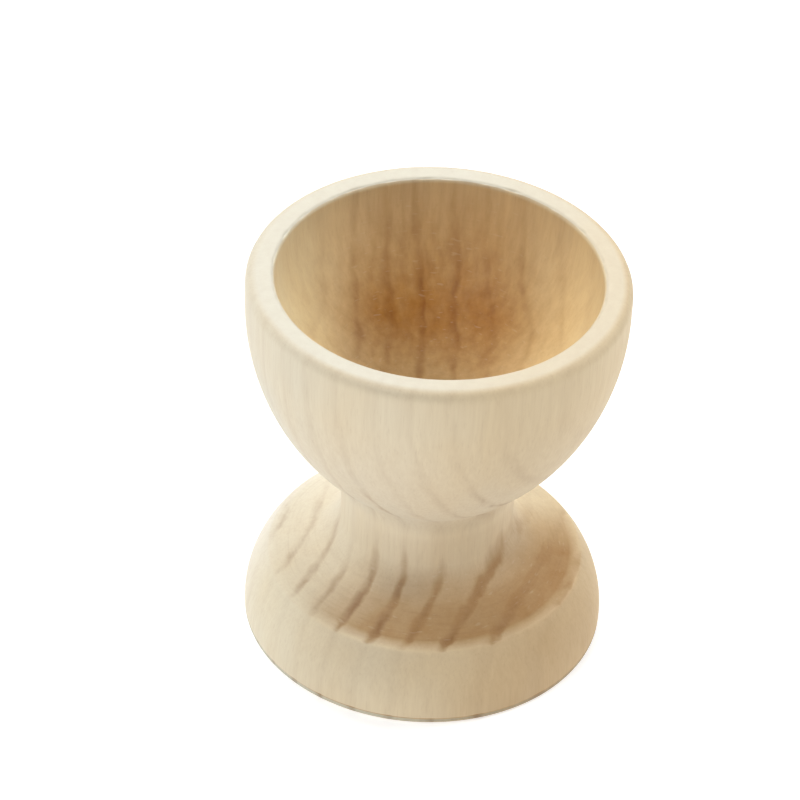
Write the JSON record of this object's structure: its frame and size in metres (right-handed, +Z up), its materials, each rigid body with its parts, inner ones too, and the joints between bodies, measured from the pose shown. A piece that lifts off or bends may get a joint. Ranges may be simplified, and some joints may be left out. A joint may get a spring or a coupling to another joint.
{
  "type": "egg cup",
  "caption": "Egg cup turned from one piece of pale bare wood: a round bowl with a hollow for an egg, a narrow neck and a coved, rounded foot.",
  "frame": {"origin": "centre of the underside, on the turning axis", "axes": "+Z up along the turning axis. The cup is round, so X and Y are free; the picture looks along +Y, with +X to the right"},
  "size_m": [0.048, 0.048, 0.054],
  "materials": {
    "bare_wood": "bare turned wood, matt, with visible growth rings"
  },
  "bodies": {
    "root": {"turned_cup": "bare_wood"}
  },
  "joints": []
}
